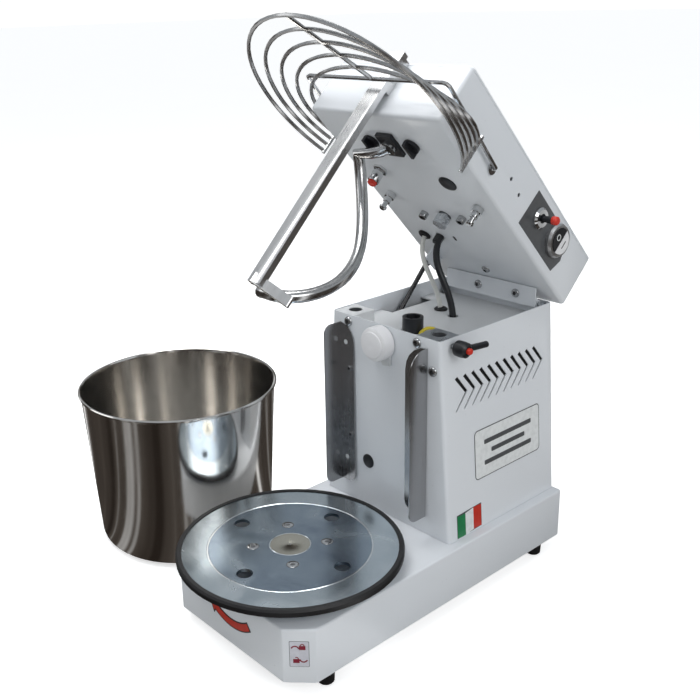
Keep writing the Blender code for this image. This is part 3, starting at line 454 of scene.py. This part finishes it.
def add_tube(shape, path, radii, steps=12):
    """A round tube along a path, with one radius for each point."""
    side = None
    rings = []
    for i, point in enumerate(path):
        ahead = path[min(i + 1, len(path) - 1)] - path[max(i - 1, 0)]
        ahead.normalize()
        if side is None:
            side = ahead.orthogonal().normalized()
        side = (side - ahead * side.dot(ahead)).normalized()
        across = ahead.cross(side)
        ring = []
        for k in range(steps):
            turn = 2 * math.pi * k / steps
            offset = (side * math.cos(turn) + across * math.sin(turn)) * radii[i]
            ring.append(shape.verts.new(point + offset))
        rings.append(ring)
    for low, high in zip(rings, rings[1:]):
        for k in range(steps):
            m = (k + 1) % steps
            shape.faces.new((low[k], low[m], high[m], high[k]))
    shape.faces.new(rings[0])
    shape.faces.new(rings[-1])


def turned(name, finish, body, places, profile, steps=24):
    shape = bmesh.new()
    for place in places:
        add_turned(shape, place, profile, steps)
    return meshed(name, shape, finish, body)


def fasten(name, body, places, profile, steps=20):
    """Bright screw heads of one profile, each with a black disc at the bottom of its socket as painted shade.
    """
    turned(name, SCREW_STEEL, body, places, profile, steps)
    reach, floor = profile[-2]
    reach, low, high = reach * 0.98, floor - 0.0002, floor + 0.0002
    # A thin black disc on the socket's floor: painted shade in the socket.
    socket_shade = ((0, low), (reach, low), (reach, high), (0, high))
    turned(f"{name}_recess", INK_BLACK, body, places, socket_shade, 6)


def plates(name, finish, body, place, outlines, low, high):
    shape = bmesh.new()
    for outline in outlines:
        add_prism(shape, place, outline, low, high)
    return meshed(name, shape, finish, body)


def rounded(x0, x1, y0, y1, radius, steps=4):
    points = []
    corners = ((x1, y1, 0), (x0, y1, 90), (x0, y0, 180), (x1, y0, 270))
    for x, y, begin in corners:
        cx = x - math.copysign(radius, x - (x0 + x1) / 2)
        cy = y - math.copysign(radius, y - (y0 + y1) / 2)
        for i in range(steps + 1):
            angle = math.radians(begin + 90 * i / steps)
            points.append((cx + radius * math.cos(angle), cy + radius * math.sin(angle)))
    return points


def band(inner, outer, begin, end, steps=12):
    """A piece of a ring between two angles in degrees."""
    turns = [math.radians(begin + (end - begin) * i / steps) for i in range(steps + 1)]
    near = [(inner * math.cos(turn), inner * math.sin(turn)) for turn in turns]
    far = [(outer * math.cos(turn), outer * math.sin(turn)) for turn in reversed(turns)]
    return near + far


def bent_arrow(radius, width, begin, end):
    """A plain arrow along an arc between two angles in degrees, pointing back past the first of them."""
    shaft = band(radius - width / 2, radius + width / 2, end, begin)
    middle = len(shaft) // 2
    turn, tip = math.radians(begin), math.radians(begin - 18)
    head = [((radius - width) * math.cos(turn), (radius - width) * math.sin(turn))]
    head.append((radius * math.cos(tip), radius * math.sin(tip)))
    head.append(((radius + width) * math.cos(turn), (radius + width) * math.sin(turn)))
    return shaft[:middle] + head + shaft[middle:]


def grown(outline, margin):
    """The outline with every side moved out by a margin, or in by a negative one."""
    area = sum(a[0] * b[1] - b[0] * a[1] for a, b in zip(outline, outline[1:] + outline[:1]))
    way = math.copysign(1, area)
    points = []
    for i, point in enumerate(outline):
        here = Vector(point)
        back = (here - Vector(outline[i - 1])).normalized()
        ahead = (Vector(outline[(i + 1) % len(outline)]) - here).normalized()
        out = Vector((back.y + ahead.y, -back.x - ahead.x)) * way
        out.normalize()
        sharp = max(0.5, abs(out.dot(Vector((back.y, -back.x)))))
        points.append(tuple(here + out * margin / sharp))
    return points


def button_profile(radius, high):
    """A button-head screw with its round socket, as a turned shape."""
    socket = radius * 0.42
    return (
        (0, -0.0008),
        (radius, -0.0008),
        (radius, high * 0.25),
        (radius * 0.86, high * 0.72),
        (radius * 0.60, high),
        (socket, high),
        (socket * 0.92, high * 0.35),
        (0, high * 0.30),
    )


def cap_profile(radius, high):
    """A cylindrical cap screw with a deep socket."""
    socket = radius * 0.56
    return (
        (0, -0.0008),
        (radius, -0.0008),
        (radius, high * 0.86),
        (radius * 0.90, high),
        (socket, high),
        (socket, high * 0.40),
        (0, high * 0.34),
    )


def bezier(start, start_pull, end_pull, end, count):
    path = []
    for i in range(count + 1):
        t = i / count
        u = 1 - t
        path.append(u**3 * start + 3 * u * u * t * start_pull + 3 * u * t * t * end_pull + t**3 * end)
    return path


# Camera and cords

def make_camera():
    data = bpy.data.cameras.new("camera")
    data.lens = CAMERA_LENS
    data.shift_x, data.shift_y = CAMERA_SHIFT
    camera = bpy.data.objects.new("camera", data)
    bpy.context.scene.collection.objects.link(camera)
    camera.matrix_world = placing(CAMERA_PLACE, CAMERA_RIGHT, CAMERA_UP)
    bpy.context.scene.camera = camera


def make_cords():
    """The black conduit and the white cable, from the column's deck up into the head."""
    for name, node, x, y, head_x, head_y, radius, bow, finish in (
        ("conduit", "power_conduit", -0.0020, 0.2950, CONDUIT_X, CONDUIT_Y, 0.0045, 0.0500, BLACK_PLASTIC),
        ("cable", "signal_cable", -0.0320, 0.3050, SIGNAL_X, SIGNAL_Y, 0.0032, 0.0450, CABLE_WHITE),
    ):
        start, pull = Vector((x, y, DECK_TOP - 0.0110)), Vector((x, y, DECK_TOP + bow))
        end, end_pull = (OPENED @ Vector((head_x, head_y, HEAD_LOW + rise)) for rise in (0.0110, -bow))
        path = bezier(start, pull, end_pull, end, 72)
        radii = [radius * (0.985 + 0.015 * math.cos(2.1 * i)) for i in range(len(path))]
        shape = bmesh.new()
        add_tube(shape, path, radii, 16)
        data = bpy.data.meshes.new(name)
        bmesh.ops.recalc_face_normals(shape, faces=shape.faces)
        shape.to_mesh(data)
        shape.free()
        data.shade_smooth()
        data.set_sharp_from_angle(angle=math.radians(50))
        cord = bpy.data.objects.new(name, data)
        bpy.context.scene.collection.objects.link(cord)
        data.materials.append(finish)
        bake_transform(cord)
        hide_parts(node)


# Turntable and bowl

def dress_turntable():
    places = []
    for k in range(4):
        angle = TABLE_SCREW_TURN + k * math.pi / 2
        away = Vector((math.cos(angle), math.sin(angle), 0))
        across = (-math.sin(angle), math.cos(angle), 0)
        places.append(placing(away * TABLE_SCREW_R + Vector((0, 0, TABLE_TOP)), away, across))
    heads = (
        (0, -0.0006),
        (0.0066, -0.0006),
        (0.0066, 0.0002),
        (0.0060, 0.0004),
        (0.0030, 0.0004),
        (0.0027, -0.0002),
        (0, -0.0002),
    )
    turned("turntable_screws", CHROME, "turntable", places, heads)
    # Grey rings just wider than the screw heads: painted shade round them in their countersinks.
    ring = ((0, -0.0006), (0.0076, -0.0006), (0.0076, 0.0001), (0, 0.0001))
    turned("turntable_countersink_shade", INK_GREY, "turntable", places, ring)
    centre = placing((0, 0, TABLE_TOP), (1, 0, 0), (0, 1, 0))
    dot = ((0, -0.0004), (0.0013, -0.0004), (0.0013, 0.0002), (0, 0.0002))
    turned("turntable_centre_mark", DARK_STEEL, "turntable", [centre], dot)


# Column

def dress_louvres():
    """A black sheet behind the louvres, inside the column's wall, as painted shade in the slots."""
    shade_outline = [(0.1790, 0.2520), (0.3690, 0.2520), (0.3690, 0.3030), (0.1790, 0.3030)]
    shape = bmesh.new()
    corners = [column_side(y, z, -0.0022).translation for y, z in shade_outline]
    inner = [column_side(y, z, -0.0030).translation for y, z in shade_outline]
    near, far = [shape.verts.new(p) for p in corners], [shape.verts.new(p) for p in inner]
    shape.faces.new(near)
    shape.faces.new(far)
    for i in range(4):
        shape.faces.new((near[i], near[(i + 1) % 4], far[(i + 1) % 4], far[i]))
    meshed("louvre_shade_sheet", shape, RUBBER, "stand")


def dress_column():
    screws = [column_face(x, z) for x, z in ((-0.0620, 0.3400), (0.0560, 0.3400), (0.0815, 0.3100))]
    fasten("column_screws", "stand", screws, button_profile(0.0064, 0.0034))
    cap = ((0, -0.0005), (0.0096, -0.0005), (0.0096, 0.0008), (0.0084, 0.0018), (0.0040, 0.0022), (0, 0.0022))
    turned("column_plug", BLACK_PLASTIC, "stand", [column_face(-0.0290, 0.1530)], cap)
    roller_end = placing((-0.0020, 0.1425, 0.3270), (1, 0, 0), (0, 0, 1))
    dome = (
        (0, -0.0002),
        (0.0172, -0.0002),
        (0.0165, 0.0012),
        (0.0100, 0.0024),
        (0.0016, 0.0028),
        (0, 0.0024),
    )
    turned("roller_cap", NYLON, "roller", [roller_end], dome, 32)
    # Black discs low in the locating-pin holes and grey tubes lining them: painted shade in the holes.
    pin_holes = [placing((x, 0.1830, DECK_TOP + 0.0004), (1, 0, 0), (0, 1, 0)) for x in (-0.0715, 0.0715)]
    turned("pin_hole_shade_discs", RUBBER, "stand", pin_holes, ((0, 0), (0.0088, 0), (0.0088, 0.0014), (0, 0.0014)), 24)
    shade_tube = (
        (0, 0.0010),
        (0.0088, 0.0010),
        (0.0088, 0.0190),
        (0.0078, 0.0190),
        (0.0078, 0.0014),
        (0, 0.0014),
    )
    turned("pin_hole_shade_tubes", INK_GREY, "stand", pin_holes, shade_tube, 24)
    strand = bezier(
        Vector((0.0170, 0.2080, DECK_TOP - 0.0010)),
        Vector((0.0190, 0.2120, DECK_TOP + 0.0100)),
        Vector((0.0250, 0.2260, DECK_TOP + 0.0100)),
        Vector((0.0270, 0.2330, DECK_TOP - 0.0010)),
        20,
    )
    shape = bmesh.new()
    add_tube(shape, strand, [0.0021] * len(strand), 10)
    meshed("earth_wire", shape, YELLOW_WIRE, "stand", 50)
    # A grey wedge on the column under the roller: a painted shadow of the roller.
    shadow_outline = [(-0.0010, -0.0180), (0.0160, -0.0100), (0.0160, -0.0270), (0.0040, -0.0290)]
    plates("roller_painted_shadow", ROLLER_SHADOW_GREY, "stand", column_face(-0.0020, 0.3270), [shadow_outline], 0.0006, 0.0040)


def on_flange(x, z):
    """On the front of the angle guards' flanges."""
    return placing((x, 0.1594, z), (1, 0, 0), (0, 0, 1))


def dress_guards():
    """Cap screws, bolt holes and pressed slits on the angle guards' flanges."""
    screws = [on_flange(-0.0585, 0.2771), on_flange(-0.0570, 0.1838)]
    fasten("guard_screws", "stand", screws, cap_profile(0.0036, 0.0026))
    holes = ((-0.0660, 0.3115), (-0.0660, 0.1478), (0.0615, 0.3230), (0.0615, 0.1599))
    spots = [on_flange(x, z) for x, z in holes]
    spot = ((0, -0.0004), (0.0033, -0.0004), (0.0033, 0.0002), (0, 0.0002))
    turned("guard_holes", INNER_PAINT, "stand", spots, spot, 16)
    slit = [(-0.0052, -0.0062), (0.0040, 0.0060), (0.0052, 0.0062), (-0.0040, -0.0060)]
    shape = bmesh.new()
    for x, z in ((-0.0609, 0.2612), (-0.0600, 0.2218), (0.0560, 0.2900), (0.0560, 0.2300)):
        add_prism(shape, on_flange(x, z), slit, -0.0002, 0.00025)
    meshed("guard_slits", shape, CHROME, "stand")


# Labels

def dress_labels():
    """Generic stand-ins for the stickers: a plain barred plate, a striped tag, an arrow and a lock label."""
    badge = column_side(0.2835, 0.1865)
    half, tall, edge = 0.0665, 0.0330, 0.0012
    rim = rounded(-half, half, -tall, tall, 0.0060)
    plates("badge_edge", INK_GREY, "stand", badge, [rim], STICKER_LOW, 0.0003)
    plates("badge_face", INK_WHITE, "stand", badge, [grown(rim, -edge)], STICKER_LOW, 0.0004)
    bars = []
    for row, reach in ((0.0140, 0.0480), (0.0, 0.0340), (-0.0140, 0.0480)):
        bars.append(rounded(-reach, reach, row - 0.0030, row + 0.0030, 0.0012))
    plates("badge_bars", INK_GREY, "stand", badge, bars, STICKER_LOW, 0.0006)

    tag = column_side(0.2030, 0.1045)
    edge = [(-0.0236, -0.0160), (0.0236, -0.0145), (0.0236, 0.0170), (-0.0236, 0.0155)]
    plates("tag_edge", INK_GREY, "stand", tag, [edge], STICKER_LOW, 0.0003)
    width, high, sway = 0.0153, 0.0148, 0.0012
    for k, ink in enumerate((INK_GREEN, INK_WHITE, INK_RED)):
        outline = []
        steps = 6
        left = -0.0230 + k * width
        for i in range(steps + 1):
            x = left + width * i / steps
            outline.append((x, -high + sway * math.sin(x * 120)))
        for i in range(steps, -1, -1):
            x = left + width * i / steps
            outline.append((x, high + sway * math.sin(x * 120)))
        plates(f"tag_stripe_{k + 1}", ink, "stand", tag, [outline], STICKER_LOW, 0.0005)

    front = placing((0.0050, BASE_FRONT, 0.1050), (1, 0, 0), (0, 0, 1))
    outline = bent_arrow(0.0570, 0.0100, 240, 305)
    plates("arrow_edge", INK_BLACK, "stand", front, [grown(outline, 0.0011)], STICKER_LOW, 0.0003)
    plates("arrow_face", INK_RED, "stand", front, [grown(outline, -0.0006)], STICKER_LOW, 0.0005)

    corner = (BASE_HALF - BASE_CHAMFER / 2, BASE_FRONT + BASE_CHAMFER / 2, 0.0558)
    label = placing(corner, (1, 1, 0), (0, 0, 1))
    half, tall = 0.0110, 0.0165
    edge = rounded(-half, half, -tall, tall, 0.0012)
    plates("lock_label_edge", INK_GREY, "stand", label, [edge], STICKER_LOW, 0.0002)
    inset = 0.0005
    face = rounded(inset - half, half - inset, inset - tall, tall - inset, 0.0010)
    plates("lock_label_face", INK_PALE, "stand", label, [face], STICKER_LOW, 0.0003)
    icons = []
    for side in (-1, 1):
        x, y = side * 0.0034, side * 0.0085
        icons.append([(x + u, y + v) for u, v in rounded(-0.0036, 0.0036, -0.0030, 0.0022, 0.0005)])
        icons.append([(x + u, y + v + 0.0022) for u, v in band(0.0016, 0.0027, 0, 180 if side > 0 else 120)])
        sweep = band(0.0034, 0.0050, 100 - 90 * side, 250 - 90 * side)
        turn = [(u - side * 0.0046, v + y * 0.70) for u, v in sweep]
        icons.append(turn)
    plates("lock_label_icons", INK_CRIMSON, "stand", label, icons, STICKER_LOW, 0.0004)


def dress_switches():
    """The dark panel behind the switches, the toggle's red tip, and the marks on the switch's two halves."""
    panel = head_side(0.0963, 0.0325)
    outline = [(-0.0537, 0.0305), (-0.0557, -0.0205), (0.0463, -0.0205), (0.0538, 0.0005), (0.0430, 0.0305)]
    plates("switch_panel", INK_GREY, "head", panel, [outline], 0.00005, 0.00025)
    toggle = head_side(HEAD_V0 - 0.2500, 0.0410)
    tip = ((0, 0.0205), (0.0053, 0.0205), (0.0055, 0.0223), (0.0053, 0.0262), (0.0040, 0.0276), (0, 0.0280))
    turned("toggle_tip", RED_PLASTIC, "toggle", [toggle], tip, 20)
    switch = head_side(HEAD_V0 - 0.3000, 0.0435)
    ring = [(u - 0.0080, v) for u, v in band(0.0030, 0.0042, 0, 359.9, 28)]
    plates("off_mark", INK_WHITE, "off_button", switch, [ring], 0.0092, 0.0095)
    bar = [(0.0075 + u, v) for u, v in rounded(-0.0007, 0.0007, -0.0058, 0.0058, 0.0006)]
    plates("on_mark", INK_BLACK, "on_button", switch, [bar], 0.0092, 0.0095)


def on_leaf(x, along):
    """On the face of the hinge's slanting leaf, along it from the head's underside towards the pin."""
    lean = math.radians(43.8)
    down = Vector((0, math.cos(lean), -math.sin(lean)))
    out = Vector((0, -math.sin(lean), -math.cos(lean)))
    origin = Vector((x, 0.3530, HEAD_LOW - 0.0004)) + down * along + out * 0.0020
    return OPENED @ placing(origin, (1, 0, 0), -down)


def dress_head():
    bolts = [under_head(-0.0350, 0.1560), under_head(0.0300, 0.1610)]
    fasten("head_bolts", "head", bolts, cap_profile(0.0056, 0.0080))
    plug = (
        (0, -0.0005),
        (0.0120, -0.0005),
        (0.0120, 0.0010),
        (0.0100, 0.0022),
        (0.0050, 0.0026),
        (0, 0.0026),
    )
    turned("head_plug", BLACK_PLASTIC, "head", [under_head(0.0470, 0.2320)], plug, 28)
    grommet = (
        (0, 0.0),
        (0.0088, 0.0),
        (0.0092, 0.0016),
        (0.0074, 0.0032),
        (0.0036, 0.0032),
        (0.0036, 0.0040),
        (0, 0.0040),
    )
    turned("cable_grommet", RUBBER, "head", [under_head(SIGNAL_X, HEAD_V0 - SIGNAL_Y)], grommet, 24)
    deck = placing((-0.0320, 0.3050, DECK_TOP), (1, 0, 0), (0, 1, 0))
    turned("deck_grommet", RUBBER, "stand", [deck], grommet, 24)
    ferrule = ((0, 0.0), (0.0066, 0.0), (0.0066, 0.0110), (0.0058, 0.0118), (0, 0.0118))
    turned("conduit_ferrule", BLACK_PLASTIC, "head", [under_head(CONDUIT_X, HEAD_V0 - CONDUIT_Y)], ferrule, 6)
    # A flat black plate drawn as the slot in the underside: painted shade in the opening.
    slot = rounded(-0.0020, 0.0020, -0.0048, 0.0048, 0.0019)
    plates("head_slot_shade", INK_BLACK, "head", under_head(-0.0140, 0.1050), [slot], 0.0, 0.0002)
    tip = ((0, 0.0), (0.0060, 0.0), (0.0060, 0.0030), (0.0040, 0.0046), (0, 0.0050))
    turned("plunger_tip", RED_PLASTIC, "plunger", [under_head(-0.0560, HEAD_V0 - 0.1310, 0.0204)], tip, 20)
    collar = ((0, 0.0), (0.0100, 0.0), (0.0100, 0.0030), (0.0085, 0.0040), (0, 0.0040))
    turned("plunger_collar", CHROME, "head", [under_head(-0.0560, HEAD_V0 - 0.1310)], collar, 6)
    screws = [on_leaf(-0.0180, 0.0130), on_leaf(0.0447, 0.0130), under_head(0.0030, 0.0397)]
    fasten("hinge_screws", "head", screws, button_profile(0.0060, 0.0032))


# Stage and light

def make_stage():
    floor = bpy.data.meshes.new("floor")
    shape = bmesh.new()
    bmesh.ops.create_grid(shape, x_segments=1, y_segments=1, size=40)
    shape.to_mesh(floor)
    shape.free()
    made = Finish("floor_pale", Emission_Color=(1, 1, 1, 1))
    seen = made.node("ShaderNodeLightPath").outputs["Is Camera Ray"]
    made.feed(made.shader, Emission_Strength=made.math("MULTIPLY", seen, 0.62))
    pale = made.ramp(made.noise(2.0, 2.0), (0.3, 0.90), (0.7, 0.92))
    made.colour(made.mix(seen, (0.60, 0.59, 0.57), pale))
    made.roughness(made.ramp(made.noise(5.0, 2.0), (0.3, 0.85), (0.7, 0.95)))
    floor.materials.append(made.material)
    ground = bpy.data.objects.new("floor", floor)
    bpy.context.scene.collection.objects.link(ground)
    ground.location.z = -0.0006


def soft_box(name, place, target, size, power, colour=(1, 1, 1)):
    data = bpy.data.lights.new(name, "AREA")
    data.shape = "RECTANGLE"
    data.size, data.size_y = size
    data.energy = power
    data.color = colour
    light = bpy.data.objects.new(name, data)
    bpy.context.scene.collection.objects.link(light)
    light.location = place
    aim = Vector(target) - Vector(place)
    light.rotation_euler = aim.to_track_quat("-Z", "Y").to_euler()


def card_finish(name, turn):
    """Soft upright bands of dark and light round the card's own middle, as a dim room with a few windows."""
    made = Finish(name, Roughness=1.0, Specular_IOR_Level=0.0)
    gradient = made.node("ShaderNodeTexGradient", gradient_type="RADIAL")
    made.feed(gradient, Vector=made.mapped(turn=(0, 0, turn)))
    bands = made.node("ShaderNodeTexNoise", noise_dimensions="1D")
    made.feed(bands, W=made.math("MULTIPLY", gradient.outputs["Fac"], 13.0), Scale=1.0, Detail=2.0)
    dark, dim, bright = (0.022, 0.017, 0.014), (0.075, 0.064, 0.056), (1.0, 1.0, 1.0)
    tone = made.ramp(bands.outputs["Fac"], (0.34, dark), (0.55, dim), (0.61, (0.5, 0.5, 0.5)), (0.66, bright))
    made.feed(made.shader, Base_Color=(0, 0, 0, 1), Emission_Color=tone, Emission_Strength=1.0)
    return made.material


def make_cards():
    """Banded boards round the set and on the floor, seen only in the bare metal's reflections."""
    steps, reach, tall = 48, 2.4, 1.15
    rim = []
    for i in range(steps):
        angle = 2 * math.pi * i / steps
        rim.append((reach * math.cos(angle), reach * math.sin(angle)))
    walls = [(x, y, z) for z in (0.0, tall) for x, y in rim]
    sides = [(i, (i + 1) % steps, (i + 1) % steps + steps, i + steps) for i in range(steps)]
    floor = [(x, y, 0.0) for x, y in rim]
    for name, points, faces in (("wall_cards", walls, sides), ("floor_cards", floor, [tuple(range(steps))])):
        data = bpy.data.meshes.new(name)
        data.from_pydata(points, [], faces)
        data.materials.append(card_finish(name, CARD_TURN))
        board = bpy.data.objects.new(name, data)
        bpy.context.scene.collection.objects.link(board)
        board.location = (BOWL.x, BOWL.y, -0.0003)
        board.visible_camera = False
        board.visible_diffuse = False
        board.visible_shadow = False
        board.visible_transmission = False


def make_light():
    """An even pale sky that the camera sees as white, with soft boxes round the set and one over the bowl."""
    world = bpy.data.worlds.new("studio")
    world.use_nodes = True
    nodes, links = world.node_tree.nodes, world.node_tree.links
    sky, white = nodes["Background"], nodes.new("ShaderNodeBackground")
    pick = nodes.new("ShaderNodeMixShader")
    sky.inputs["Color"].default_value = (0.90, 0.95, 1.0, 1)
    sky.inputs["Strength"].default_value = 0.42
    white.inputs["Color"].default_value = (1, 1, 1, 1)
    white.inputs["Strength"].default_value = 1.05
    links.new(nodes.new("ShaderNodeLightPath").outputs["Is Camera Ray"], pick.inputs["Fac"])
    links.new(sky.outputs["Background"], pick.inputs[1])
    links.new(white.outputs["Background"], pick.inputs[2])
    links.new(pick.outputs["Shader"], nodes["World Output"].inputs["Surface"])
    bpy.context.scene.world = world
    middle = (0.0, 0.15, 0.3)
    soft_box("key", (2.2, -0.3, 1.5), middle, (1.4, 1.4), 19)
    soft_box("top", (-0.5, -0.2, 2.6), middle, (1.8, 1.8), 38)
    soft_box("fill", (-1.9, -1.6, 1.2), middle, (1.2, 1.2), 5)
    soft_box("bowl", (-0.25, 0.20, 1.4), (BOWL.x, BOWL.y, 0.05), (0.5, 0.5), 4)
    bpy.context.scene.view_settings.view_transform = "Standard"


def smoothing(angle):
    """A node group that welds a mesh and shades it smooth, but for edges sharper than the angle."""
    group = bpy.data.node_groups.new("smoothing", "GeometryNodeTree")
    group.interface.new_socket("Geometry", in_out="INPUT", socket_type="NodeSocketGeometry")
    group.interface.new_socket("Geometry", in_out="OUTPUT", socket_type="NodeSocketGeometry")
    nodes, links = group.nodes, group.links
    source, weld = nodes.new("NodeGroupInput"), nodes.new("GeometryNodeMergeByDistance")
    weld.inputs["Distance"].default_value = 0.000002
    bare = nodes.new("GeometryNodeRemoveAttribute")
    bare.inputs["Name"].default_value = "custom_normal"
    faces, edges = nodes.new("GeometryNodeSetShadeSmooth"), nodes.new("GeometryNodeSetShadeSmooth")
    edges.domain = "EDGE"
    edges.inputs["Shade Smooth"].default_value = False
    bend, sharp = nodes.new("GeometryNodeInputMeshEdgeAngle"), nodes.new("FunctionNodeCompare")
    sharp.operation = "GREATER_THAN"
    sharp.inputs["B"].default_value = angle
    links.new(bend.outputs["Unsigned Angle"], sharp.inputs["A"])
    links.new(sharp.outputs["Result"], edges.inputs["Selection"])
    chain = (source, weld, bare, faces, edges, nodes.new("NodeGroupOutput"))
    for first, second in zip(chain, chain[1:]):
        links.new(first.outputs["Geometry"], second.inputs["Geometry"])
    return group


def dress_cad_nodes():
    group = smoothing(SMOOTH_BELOW)
    for finish, names in NODE_FINISHES:
        for name in names.split():
            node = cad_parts[name]
            node.data.materials.clear()
            node.data.materials.append(finish)
            node.modifiers.new("smoothing", "NODES").node_group = group


make_camera()
make_cords()
dress_cad_nodes()
dress_turntable()
dress_column()
dress_louvres()
dress_guards()
dress_labels()
dress_switches()
dress_head()
make_stage()
make_cards()
make_light()
